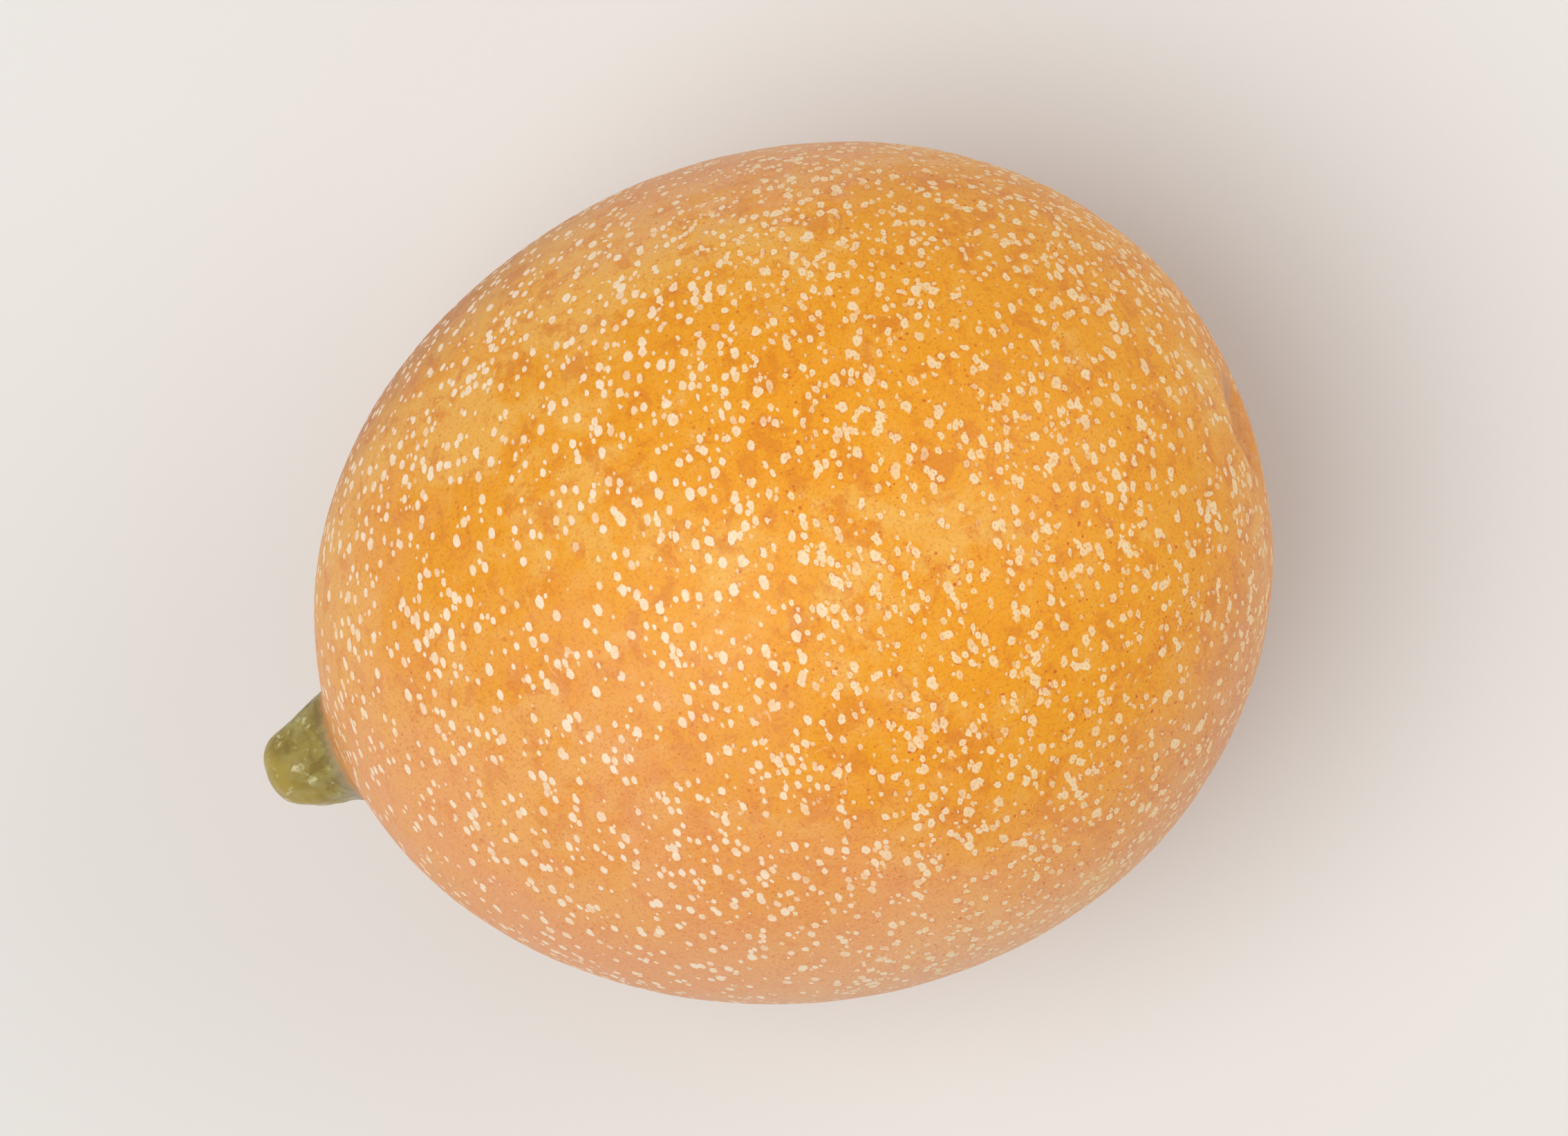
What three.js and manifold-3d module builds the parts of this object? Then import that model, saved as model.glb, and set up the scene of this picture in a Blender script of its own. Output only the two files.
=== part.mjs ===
// A sweet granadilla with its stub of stem, lying on its side on a small flat spot.
// Millimetres, +Z up. +X runs along the fruit from the stem end to the blossom end,
// and the origin is the centre of the flat spot.

import * as THREE from 'three';
import { mergeVertices } from 'three/addons/utils/BufferGeometryUtils.js';
import Module from 'manifold-3d';

// Driving dimensions of the fruit
const FRUIT_LENGTH = 77; // along the long axis, without the stem
const FRUIT_DIAMETER = 67; // round the middle
const EGG = 0.0165; // share by which the blossom half is fuller and blunter than the stem half
const LEAN = 0.0037; // share by which the two ends lean towards +Y
const LOBES = 0.004; // share of the three faint lobes, one for each part of the ovary
const FLAT_DEPTH = 0.35; // how far the flat spot cuts into the underside

// The dimple at the blossom end, where the flower came away: a hollow in a wide shallow saucer
const DIMPLE_ASIDE = 0.7; // its middle, from the long axis along Y
const DIMPLE_UP = 2.1; // and along Z
const HOLLOW_RADIUS = 4.7;
const HOLLOW_DEPTH = 1.25;
const SAUCER_WIDTH = 8;
const SAUCER_DEPTH = 0.8;
const LIP_HEIGHT = 0.15; // the skin swells a little round the hollow
const LIP_WIDTH = 1.8;

// The skin rises in a low collar round the stem
const COLLAR_HEIGHT = 0.8;
const COLLAR_WIDTH = 5.5;

// Driving dimensions of the stem's stub
const STEM_LENGTH = 6.4; // from the top of the collar to the rounded cut end
const STEM_FOOT = 4.5; // radius where it meets the collar
const STEM_TIP = 2.75; // radius that its side tapers to before it rounds over
const STEM_FLARE = 0.4; // how far the foot spreads onto the skin
const FLARE_HEIGHT = 0.8; // and how high up the stem the flare reaches
const STEM_ROOT = 2.8; // how far the uncut blank starts inside the collar
const STEM_OFFSET = -1.65; // of its foot, from the long axis along Y
const STEM_LEAN = THREE.MathUtils.degToRad(6.8); // out from the long axis, towards -Y
const STEM_GAP = 0.3; // between the stem's foot and the skin

// How finely the surfaces are divided
const AROUND = 60;
const ALONG = 40;
const CROWDING = 0.55; // how much closer the rings stand at the two ends
const STEM_SIDES = 28;
const STEM_RINGS = 14;
const MERGE_DISTANCE = 1e-4;

const halfLength = FRUIT_LENGTH / 2;
const halfWidth = FRUIT_DIAMETER / 2;

// The fuller blossom half carries the lowest point a little way along +X from the middle.
const lowestAlong = 1.5 * EGG * halfLength * halfLength / halfWidth;
const fruitCentre = new THREE.Vector3(-lowestAlong, 0, halfWidth - FLAT_DEPTH);

function bell(x) {
  return Math.exp(-x * x);
}

// Distance from the fruit's middle to its skin along a unit direction: an ellipsoid whose
// radius is changed by an egg term, a lean of both ends and three lobes.
function skinDistance(x, y, z) {
  const ellipsoid = 1 / Math.hypot(x / halfLength, y / halfWidth, z / halfWidth);
  const egg = EGG * (2.5 * x * x * x - 1.5 * x);
  const lean = LEAN * (5 * x * x - 1) * y;
  const lobes = LOBES * (y * y * y - 3 * y * z * z);
  return ellipsoid * (1 - egg + lean + lobes);
}

// How far the skin stands out along X at a distance from the dimple's middle: one wave of a
// cosine going in, a bell-shaped saucer, and a soft ring standing out round the hollow.
function dimpleRise(distance) {
  const inward = Math.min(distance / HOLLOW_RADIUS, 1);
  const hollow = HOLLOW_DEPTH * 0.5 * (1 + Math.cos(Math.PI * inward));
  const saucer = SAUCER_DEPTH * bell(distance / SAUCER_WIDTH);
  const lip = LIP_HEIGHT * bell((distance - HOLLOW_RADIUS) / LIP_WIDTH);
  return lip - saucer - hollow;
}

// The whole skin as a sphere whose points are moved out to it, grown by a given distance.
function skinGeometry(growth) {
  const skin = new THREE.SphereGeometry(1, AROUND, ALONG);
  skin.rotateZ(-Math.PI / 2);
  const points = skin.attributes.position;
  const direction = new THREE.Vector3();
  for (let i = 0; i < points.count; i += 1) {
    direction.fromBufferAttribute(points, i);
    const even = Math.acos(THREE.MathUtils.clamp(direction.x, -1, 1));
    const polar = even - CROWDING * 0.5 * Math.sin(2 * even);
    const turn = Math.atan2(direction.z, direction.y);
    direction.set(Math.cos(polar), Math.sin(polar) * Math.cos(turn), Math.sin(polar) * Math.sin(turn));
    direction.multiplyScalar(skinDistance(direction.x, direction.y, direction.z) + growth);
    if (direction.x > 0) {
      direction.x += dimpleRise(Math.hypot(direction.y - DIMPLE_ASIDE, direction.z - DIMPLE_UP));
    } else {
      const fromStem = Math.hypot(direction.y - STEM_OFFSET, direction.z);
      direction.x -= COLLAR_HEIGHT * bell(fromStem / COLLAR_WIDTH);
    }
    points.setXYZ(i, direction.x, direction.y, direction.z);
  }
  return skin;
}

// The stem's stub about its own axis. At a share h of its length the radius tapers evenly from
// foot to tip, times the root of 1 - h^8, which rounds its end, and a flare dies away above the skin.
function stemGeometry() {
  const profile = [new THREE.Vector2(0, -STEM_ROOT), new THREE.Vector2(STEM_FOOT + STEM_FLARE, -STEM_ROOT)];
  for (let ring = 0; ring < STEM_RINGS; ring += 1) {
    const share = Math.sin(Math.PI / 2 * ring / STEM_RINGS);
    const along = share * STEM_LENGTH;
    const taper = THREE.MathUtils.lerp(STEM_FOOT, STEM_TIP, share);
    const flare = STEM_FLARE * Math.exp(-along / FLARE_HEIGHT);
    profile.push(new THREE.Vector2(taper * Math.sqrt(1 - share ** 8) + flare, along));
  }
  profile.push(new THREE.Vector2(0, STEM_LENGTH));
  return new THREE.LatheGeometry(profile, STEM_SIDES);
}

// A closed mesh, with its shared points merged, as a solid that can be cut.
function toSolid(wasm, geometry) {
  const bare = geometry.clone();
  bare.deleteAttribute('normal');
  bare.deleteAttribute('uv');
  const merged = mergeVertices(bare, MERGE_DISTANCE);
  return new wasm.Manifold(new wasm.Mesh({
    numProp: 3,
    vertProperties: new Float32Array(merged.attributes.position.array),
    triVerts: new Uint32Array(merged.index.array),
  }));
}

function toGeometry(solid) {
  const mesh = solid.getMesh();
  const geometry = new THREE.BufferGeometry();
  geometry.setAttribute('position', new THREE.BufferAttribute(mesh.vertProperties, 3));
  geometry.setIndex(new THREE.BufferAttribute(mesh.triVerts, 1));
  geometry.computeVertexNormals();
  return geometry;
}

// The whole fruit: its skin, cut off flat underneath where it rests.
function makeFruit(wasm) {
  const skin = skinGeometry(0);
  skin.translate(fruitCentre.x, fruitCentre.y, fruitCentre.z);
  const ground = new THREE.BoxGeometry(FRUIT_LENGTH, FRUIT_DIAMETER, FRUIT_DIAMETER);
  ground.translate(0, 0, -FRUIT_DIAMETER / 2);
  const solid = toSolid(wasm, skin).subtract(toSolid(wasm, ground));
  const material = new THREE.MeshStandardMaterial({ color: 0xe09a35, roughness: 0.42, metalness: 0 });
  const fruit = new THREE.Mesh(toGeometry(solid), material);
  fruit.name = 'fruit';
  return fruit;
}

// The stub of stem, with a foot hollowed to follow the skin at a small gap.
function makeStem(wasm) {
  const skinAlong = halfLength * (1 + EGG) * Math.sqrt(1 - (STEM_OFFSET / halfWidth) ** 2);
  const blank = stemGeometry();
  blank.rotateZ(Math.PI / 2 + STEM_LEAN);
  blank.translate(-skinAlong - COLLAR_HEIGHT, STEM_OFFSET, 0);
  const solid = toSolid(wasm, blank).subtract(toSolid(wasm, skinGeometry(STEM_GAP)));
  const material = new THREE.MeshStandardMaterial({ color: 0x94843a, roughness: 0.5, metalness: 0 });
  const stem = new THREE.Mesh(toGeometry(solid), material);
  stem.name = 'stem';
  stem.position.copy(fruitCentre);
  return stem;
}

const wasm = await Module();
wasm.setup();

const granadilla = new THREE.Group();
granadilla.add(makeFruit(wasm), makeStem(wasm));

export default granadilla;
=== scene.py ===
"""A sweet granadilla lying on its side: a waxy, spotted rind with a dimple at its blossom end,
and a green stub of stem. Metres, +Z up, with +X from the stem end to the blossom end."""

from math import cos, radians, sin

import bpy
import numpy as np
from mathutils import Matrix, Vector


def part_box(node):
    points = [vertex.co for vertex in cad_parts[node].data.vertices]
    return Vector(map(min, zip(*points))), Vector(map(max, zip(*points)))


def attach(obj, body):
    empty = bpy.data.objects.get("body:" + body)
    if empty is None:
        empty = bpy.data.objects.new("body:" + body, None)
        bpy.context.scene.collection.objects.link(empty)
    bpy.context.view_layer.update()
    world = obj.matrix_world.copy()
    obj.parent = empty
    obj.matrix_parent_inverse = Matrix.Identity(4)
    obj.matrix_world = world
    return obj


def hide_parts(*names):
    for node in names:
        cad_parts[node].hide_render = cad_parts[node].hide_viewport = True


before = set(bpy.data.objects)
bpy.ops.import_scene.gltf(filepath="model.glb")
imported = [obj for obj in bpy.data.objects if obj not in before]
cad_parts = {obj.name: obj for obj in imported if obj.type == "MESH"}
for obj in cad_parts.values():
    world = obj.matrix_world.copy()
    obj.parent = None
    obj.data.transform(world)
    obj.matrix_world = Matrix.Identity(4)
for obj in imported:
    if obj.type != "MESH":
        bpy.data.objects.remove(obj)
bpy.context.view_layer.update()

bl_info = {
    "name": "Granadilla",
    "version": (1, 0, 0),
    "blender": (4, 5, 0),
    "location": "3D View > Sidebar > Granadilla",
    "description": "Makes a sweet granadilla with its stub of stem on a plain studio floor",
    "category": "Add Mesh",
}

FRUIT_LOW, FRUIT_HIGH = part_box("fruit")

MM = 0.001

# The fruit's length, and its shape as shares of its size
FRUIT_LENGTH = 77 * MM
EGG = 0.0165
LEAN = 0.0037
LOBES = 0.004

# The dimple where the flower came away: a hollow in a wide saucer, puckered at a share of the
# hollow's radius, with the dry scar of the flower's style
DIMPLE_ASIDE = 0.7 * MM
DIMPLE_UP = 2.1 * MM
HOLLOW_RADIUS = 4.7 * MM
HOLLOW_DEPTH = 0.95 * MM
SAUCER_WIDTH = 8 * MM
SAUCER_DEPTH = 0.8 * MM
LIP_HEIGHT = 0.15 * MM
LIP_WIDTH = 1.8 * MM
PUCKER_DEPTH = 0.17 * MM
PUCKER_PLACE = 0.62
PUCKER_WIDTH = 1.4 * MM
SCAR_RADIUS = 0.42 * MM
SCAR_HEIGHT = 0.3 * MM
SCAR_ASIDE = 1.5 * MM
SCAR_UP = 2.6 * MM

# Uneven swelling of the skin and of the stem
SLOW_LUMP = 0.075 * MM
QUICK_LUMP = 0.014 * MM
STEM_SLOW_LUMP = 0.09 * MM
STEM_QUICK_LUMP = 0.02 * MM

# The stem's stub, the low collar of skin round it and the small folded ring at its foot
COLLAR_HEIGHT = 0.8 * MM
COLLAR_WIDTH = 5.5 * MM
FOOT_RING_RADIUS = 4.9 * MM
FOOT_RING_WIDTH = 1.1 * MM
FOOT_RING_HEIGHT = 0.12 * MM
FOOT_RING_FOLDS = 0.06 * MM
STEM_LENGTH = 6.4 * MM
STEM_OFFSET = -1.65 * MM
STEM_LEAN = radians(6.8)
STEM_BURIED = 0.6 * MM
STEM_FLARE = 0.42 * MM
FLARE_HEIGHT = 0.7 * MM

# How finely the surfaces are divided
RIND_RINGS = 250
RIND_COLUMNS = 360
RIND_CROWDING = 0.55
STEM_RINGS = 120
STEM_COLUMNS = 192
FLOOR_COLUMNS = 96

# How softly the underside turns into the flat spot, and how high the floor rises far away
REST_SOFTNESS = 0.06 * MM
FLOOR_RISE = 0.5

# The camera looks down on the fruit from the blossom end's side.
VIEW_ELEVATION = radians(80)
VIEW_ROLL = radians(17.85)
VIEW_WIDTH = 123.9 * MM
VIEW_RIGHT = -1.36 * MM
VIEW_UP = 0.70 * MM
SENSOR_WIDTH = 36.0
LENS = 140.0

# Each soft light's width and its place from the fruit's middle: to the right and up in the view,
# and over it, in metres
KEY_WIDTH = 0.9
KEY_PLACE = (-0.30, -0.12, 0.95)
KEY_COLOUR = (1.0, 0.985, 0.96)
FILL_WIDTH = 0.7
FILL_PLACE = (0.70, 0.30, 0.60)
FILL_COLOUR = (0.97, 0.98, 1.0)
SKY_COLOUR = (0.96, 0.97, 1.0)


def shade(code):
    """A screen colour such as "E39A2B" as linear red, green and blue."""
    screen = np.array([int(code[i:i + 2], 16) for i in (0, 2, 4)]) / 255
    linear = np.where(screen <= 0.04045, screen / 12.92, ((screen + 0.055) / 1.055) ** 2.4)
    return tuple(float(value) for value in linear)


# The skin's tints: deeper washes, painted pale and rosy reflections on the flanks, painted
# shade towards the bottom and on the edge by the stem, bruises and pores
WASH = shade("DB7F14")
PAINTED_PALE_REFLECTION = shade("F4C6A0")
PAINTED_ROSY_REFLECTION = shade("E4A688")
PAINTED_DEEP_REFLECTION = shade("D89E80")
PAINTED_UNDER_SHADE = shade("CF7C34")
PAINTED_EDGE_SHADE = shade("AE5510")
BRUISE = shade("D87A2C")
PORE = shade("BC845C")

# Painted shade in the dimple and by its scar, the scar, and the band round the stem's foot
DIMPLE_SHADE = shade("C08C70")
SCAR_SHADE = shade("A98676")
SCAR = shade("6E5A2C")
STEM_BAND = shade("CF8438")

# The stem's darker patches, its band of wax, the waxy rim at the skin and the line under it
DARK_OLIVE = shade("80691F")
STEM_WAX = shade("A59C5C")
STEM_RIM = shade("ABA793")
STEM_LINE = shade("C08A4E")

# Layers of pale spots: the shift of the cells, their size, the least and greatest radius of a spot
# in millimetres, the share of cells that hold one on the stem half and on the blossom half, and the
# strength of the faintest. They are wide-set ovals, two layers that crowd and run together towards
# the blossom end, and small spots without pores.
SPOT_LAYERS = (
    ((3.1, 7.7, 1.3), 1.65, 0.30, 0.52, 1.00, 0.75, 0.80),
    ((11.4, 2.9, 8.6), 1.38, 0.18, 0.42, 0.30, 0.90, 0.62),
    ((7.9, 5.2, 14.5), 1.50, 0.20, 0.45, 0.38, 0.85, 0.66),
    ((5.5, 13.2, 4.1), 0.95, 0.09, 0.21, 0.20, 0.50, 0.40),
)
PORED_LAYERS = 3
SPOT_SQUEEZE = (1.45, 1.0, 1.0)
FAR_FROM_SPOTS = 9.0

# Patches of thinner or thicker bloom: the place from the fruit's middle and the reach in
# millimetres, and the change. Two are riper and one is pale.
BLOOM_PATCHES = (
    ((-23.0, 9.0, 24.0), 12.0, -0.15),
    ((25.0, -15.0, 20.0), 13.0, -0.15),
    ((-17.0, 18.0, 22.0), 6.5, 0.22),
)

# Rusty stippling: cells to the millimetre, and the largest dot as a share of a cell
STIPPLES = ((1.8, 0.32), (3.3, 0.32))


# ---------------------------------------------------------------- settings

class RindSettings(bpy.types.PropertyGroup):
    """Sizes and colours of the whole fruit's skin."""

    length: bpy.props.FloatProperty(
        name="Length",
        description="Pole to pole along the fruit, without the stem",
        default=FRUIT_LENGTH, min=0.03, max=0.15, subtype="DISTANCE", unit="LENGTH",
    )
    width: bpy.props.FloatProperty(
        name="Width",
        description="Diameter round the middle",
        default=FRUIT_HIGH.y - FRUIT_LOW.y, min=0.03, max=0.15, subtype="DISTANCE", unit="LENGTH",
    )
    deep: bpy.props.FloatVectorProperty(
        name="Ripe colour",
        description="Deep orange of the bare skin",
        default=shade("ED9F14"), min=0, max=1, size=3, subtype="COLOR",
    )
    veil: bpy.props.FloatVectorProperty(
        name="Wax colour",
        description="Paler orange where the waxy bloom lies thicker",
        default=shade("EFB24C"), min=0, max=1, size=3, subtype="COLOR",
    )
    # Partly painted reflection: this peach also stands for pale light reflected onto the stem end and
    # the lower flank.
    blush_and_reflection: bpy.props.FloatVectorProperty(
        name="Blush colour",
        description="Peach of the stem end and one flank",
        default=shade("EBA26C"), min=0, max=1, size=3, subtype="COLOR",
    )
    spot_stem: bpy.props.FloatVectorProperty(
        name="Spots by the stem",
        description="Colour of the pale spots on the stem half",
        default=shade("FCE8CC"), min=0, max=1, size=3, subtype="COLOR",
    )
    spot_blossom: bpy.props.FloatVectorProperty(
        name="Spots by the blossom",
        description="Colour of the pale spots on the blossom half",
        default=shade("F4D8A8"), min=0, max=1, size=3, subtype="COLOR",
    )
    fleck: bpy.props.FloatVectorProperty(
        name="Fleck colour",
        description="Rusty orange of the fine stippling",
        default=shade("C85614"), min=0, max=1, size=3, subtype="COLOR",
    )


class StemSettings(bpy.types.PropertyGroup):
    """Sizes and colours of the stub of stem."""

    length: bpy.props.FloatProperty(
        name="Length",
        description="From the collar of skin to the rounded end",
        default=STEM_LENGTH, min=0.001, max=0.03, subtype="DISTANCE", unit="LENGTH",
    )
    foot_radius: bpy.props.FloatProperty(
        name="Foot radius",
        description="Radius where it meets the collar of skin, without the flare",
        default=4.5 * MM, min=0.001, max=0.01, subtype="DISTANCE", unit="LENGTH",
    )
    tip_radius: bpy.props.FloatProperty(
        name="Tip radius",
        description="Radius that the side tapers to before it rounds over",
        default=2.75 * MM, min=0.0005, max=0.01, subtype="DISTANCE", unit="LENGTH",
    )
    olive: bpy.props.FloatVectorProperty(
        name="Olive",
        description="Main green of the stem",
        default=shade("978738"), min=0, max=1, size=3, subtype="COLOR",
    )
    tip: bpy.props.FloatVectorProperty(
        name="Tip colour",
        description="Yellower green of the rounded end",
        default=shade("AD953C"), min=0, max=1, size=3, subtype="COLOR",
    )
    # Partly painted highlights: the pale scuff colour also stands for small bright highlights on the
    # stem.
    scuff_and_highlight: bpy.props.FloatVectorProperty(
        name="Scuff colour",
        description="Pale waxy scuffs and the rim at the skin",
        default=shade("CFCA94"), min=0, max=1, size=3, subtype="COLOR",
    )


class StageSettings(bpy.types.PropertyGroup):
    """The studio round the fruit."""

    floor_radius: bpy.props.FloatProperty(
        name="Floor radius",
        description="Where the flat floor starts to rise",
        default=0.9, min=0.2, max=5.0, subtype="DISTANCE", unit="LENGTH",
    )
    floor_colour: bpy.props.FloatVectorProperty(
        name="Floor colour",
        description="Pale grey of the floor",
        default=shade("E4E1DC"), min=0, max=1, size=3, subtype="COLOR",
    )
    key_power: bpy.props.FloatProperty(
        name="Key light",
        description="Power of the large soft light overhead",
        default=6.2, min=0, max=100, subtype="POWER", unit="POWER",
    )
    fill_power: bpy.props.FloatProperty(
        name="Fill light",
        description="Power of the soft light opposite",
        default=2.0, min=0, max=100, subtype="POWER", unit="POWER",
    )
    sky: bpy.props.FloatProperty(
        name="Surrounding light",
        description="Strength of the even light from all round",
        default=0.55, min=0, max=5,
    )


# ---------------------------------------------------------------- surfaces

def waves(points, seed, count, slowest, fastest):
    """Soft random lumps from -1 to 1 or so: the mean of many plane cosine waves, each with a random
    heading and phase and a number of turns per metre between slowest and fastest."""
    random = np.random.default_rng(seed)
    headings = random.normal(size=(count, 3))
    headings /= np.linalg.norm(headings, axis=1, keepdims=True)
    turns = headings * random.uniform(slowest, fastest, (count, 1)) * 2 * np.pi
    phases = random.uniform(0, 2 * np.pi, count)
    return np.cos(points @ turns.T + phases).sum(axis=-1) / np.sqrt(count)


def bell(x):
    """A bell-shaped swell: e to the power of minus x squared."""
    return np.exp(-x ** 2)


def fruit_middle(length, width):
    """The middle of the fruit: half a width under its top, and so far behind the flat spot that the
    lowest point of the egg shape, 1.5 egg shares of length^2 / (2 width) ahead, is over it."""
    return np.array([-0.75 * EGG * length ** 2 / width, 0.0, FRUIT_HIGH.z - width / 2])


def skin_distance(way, length, width):
    """Distance from the middle to the skin along unit directions (x, y, z): an ellipsoid,
    1 / root of (2x/length)^2 + (2y/width)^2 + (2z/width)^2, made less by the egg share times
    (5x^3 - 3x)/2, and changed by the lean share times (5x^2 - 1)y and by the lobe share times
    y^3 - 3yz^2."""
    x, y, z = way[..., 0], way[..., 1], way[..., 2]
    ellipsoid = 1 / np.sqrt((2 * x / length) ** 2 + (2 * y / width) ** 2 + (2 * z / width) ** 2)
    egg = EGG * (2.5 * x ** 3 - 1.5 * x)
    lean = LEAN * (5 * x ** 2 - 1) * y
    lobes = LOBES * (y ** 3 - 3 * y * z ** 2)
    return ellipsoid * (1 - egg + lean + lobes)


def dimple_rise(y, z):
    """How far the skin stands out along +X at the blossom end. With d the distance from the dimple's
    middle, it goes in by half the depth times 1 + cos(pi d / radius) and by a bell-shaped saucer, a
    soft ring stands out round the hollow, uneven puckers run down its side, and the dry scar stands
    up beside its middle."""
    distance = np.hypot(y - DIMPLE_ASIDE, z - DIMPLE_UP)
    turn = np.arctan2(z - DIMPLE_UP, y - DIMPLE_ASIDE)
    inward = np.minimum(distance / HOLLOW_RADIUS, 1)
    hollow = HOLLOW_DEPTH * 0.5 * (1 + np.cos(np.pi * inward))
    saucer = SAUCER_DEPTH * bell(distance / SAUCER_WIDTH)
    lip = LIP_HEIGHT * bell((distance - HOLLOW_RADIUS) / LIP_WIDTH)
    folds = 0.6 * np.cos(5 * turn + 0.7) + 0.4 * np.cos(8 * turn + 2.1) + 0.3 * np.cos(3 * turn - 1.0)
    pucker = PUCKER_DEPTH * folds * bell((distance - PUCKER_PLACE * HOLLOW_RADIUS) / PUCKER_WIDTH)
    from_scar = np.hypot(y - SCAR_ASIDE, z - SCAR_UP)
    scar = SCAR_HEIGHT * np.exp(-(from_scar / SCAR_RADIUS) ** 4) * (1 + 0.25 * np.cos(3 * turn + 0.4))
    return lip - saucer - hollow + pucker + scar


def stem_end_rise(y, z):
    """How far the skin stands out along -X round the stem: a low bell-shaped collar, and at the
    stem's foot a small soft ring with fine folds."""
    distance = np.hypot(y - STEM_OFFSET, z)
    turn = np.arctan2(z, y - STEM_OFFSET)
    collar = COLLAR_HEIGHT * bell(distance / COLLAR_WIDTH)
    ring = FOOT_RING_HEIGHT + FOOT_RING_FOLDS * np.cos(11 * turn + 3 * np.sin(2 * turn))
    return collar + ring * bell((distance - FOOT_RING_RADIUS) / FOOT_RING_WIDTH)


def skin_points(polar, turn, length, width):
    """Points of the skin, for a polar angle from the blossom pole and a turn round the long axis.
    The radius of skin_distance gets slow lumps of a tenth of a millimetre and quick ones of a
    fiftieth, and the two ends are shaped along X."""
    across = np.sin(polar)
    way = np.stack([np.cos(polar), across * np.cos(turn), across * np.sin(turn)], axis=-1)
    points = way * skin_distance(way, length, width)[..., None]
    lumps = SLOW_LUMP * waves(points, 3, 16, 25, 55) + QUICK_LUMP * waves(points, 4, 24, 110, 260)
    points = points + way * lumps[..., None]
    x, y, z = points[..., 0], points[..., 1], points[..., 2]
    points[..., 0] = np.where(x > 0, x + dimple_rise(y, z), x - stem_end_rise(y, z))
    return points


def closed_mesh(name, first, rings, last, heights=None):
    """A closed mesh from rings of points between two pole points, with the turn of the rings and
    their count from first to last seen anticlockwise from the first pole. Its map runs once round
    and once along. A height for each ring's points may be kept as the attribute "rise"."""
    ring_count, columns = rings.shape[:2]
    points = np.concatenate([first[None], rings.reshape(-1, 3), last[None]])
    row, column = np.meshgrid(np.arange(ring_count - 1), np.arange(columns), indexing="ij")
    beside = (column + 1) % columns
    corner = 1 + row * columns
    quads = np.stack([corner + column, corner + columns + column,
                      corner + columns + beside, corner + beside], axis=-1).reshape(-1, 4)
    around = np.arange(columns)
    nearby = (around + 1) % columns
    last_ring = 1 + (ring_count - 1) * columns
    caps = np.concatenate([
        np.stack([np.zeros(columns, int), 1 + around, 1 + nearby], axis=-1),
        np.stack([np.full(columns, len(points) - 1), last_ring + nearby, last_ring + around], axis=-1),
    ])
    mesh = bpy.data.meshes.new(name)
    mesh.vertices.add(len(points))
    mesh.vertices.foreach_set("co", points.astype(np.float32).ravel())
    corners = np.concatenate([quads.ravel(), caps.ravel()])
    totals = np.concatenate([np.full(len(quads), 4), np.full(len(caps), 3)])
    starts = np.concatenate([[0], np.cumsum(totals)[:-1]])
    mesh.loops.add(len(corners))
    mesh.loops.foreach_set("vertex_index", corners.astype(np.int32))
    mesh.polygons.add(len(totals))
    mesh.polygons.foreach_set("loop_start", starts.astype(np.int32))
    mesh.polygons.foreach_set("use_smooth", np.ones(len(totals), bool))

    across = np.stack([column, column, column + 1, column + 1], axis=-1) / columns
    along = (np.stack([row, row + 1, row + 1, row], axis=-1) + 1) / (ring_count + 1)
    quad_map = np.stack([across.reshape(-1, 4), along.reshape(-1, 4)], axis=-1)
    half = around + 0.5
    ends = np.concatenate([
        np.stack([half, around, around + 1], axis=-1),
        np.stack([half, around + 1, around], axis=-1),
    ]) / columns
    reach = 1 / (ring_count + 1)
    cap_along = np.concatenate([
        np.tile([0.0, reach, reach], (columns, 1)),
        np.tile([1.0, 1 - reach, 1 - reach], (columns, 1)),
    ])
    cap_map = np.stack([ends, cap_along], axis=-1)
    layout = np.concatenate([quad_map.reshape(-1, 2), cap_map.reshape(-1, 2)])
    mesh.uv_layers.new(name="OFBake").uv.foreach_set("vector", layout.astype(np.float32).ravel())
    if heights is not None:
        padded = np.concatenate([[heights[0].mean()], heights.ravel(), [heights[-1].mean()]])
        rise = mesh.attributes.new("rise", "FLOAT", "POINT")
        rise.data.foreach_set("value", padded.astype(np.float32))
    mesh.update(calc_edges=True)
    mesh.validate()
    return mesh


def rind_mesh(settings):
    """The whole skin: skin_points on a grid whose rings crowd towards both poles, polar angle
    t - crowding / 2 times sin(2t), set in its place and pressed flat where it rests, where a height z
    becomes half of z + root(z^2 + a tiny softness^2)."""
    even = np.linspace(0, np.pi, RIND_RINGS + 2)[1:-1]
    polar = even - RIND_CROWDING * 0.5 * np.sin(2 * even)
    turn = np.arange(RIND_COLUMNS) * 2 * np.pi / RIND_COLUMNS
    polar, turn = np.meshgrid(polar, turn, indexing="ij")
    rings = skin_points(polar, turn, settings.length, settings.width)
    poles = skin_points(np.array([0.0, np.pi]), np.zeros(2), settings.length, settings.width)
    middle = fruit_middle(settings.length, settings.width)
    rings = rings + middle
    poles = poles + middle
    rings[..., 2] = 0.5 * (rings[..., 2] + np.sqrt(rings[..., 2] ** 2 + REST_SOFTNESS ** 2))
    return closed_mesh("rind", poles[0], rings, poles[1])


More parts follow.
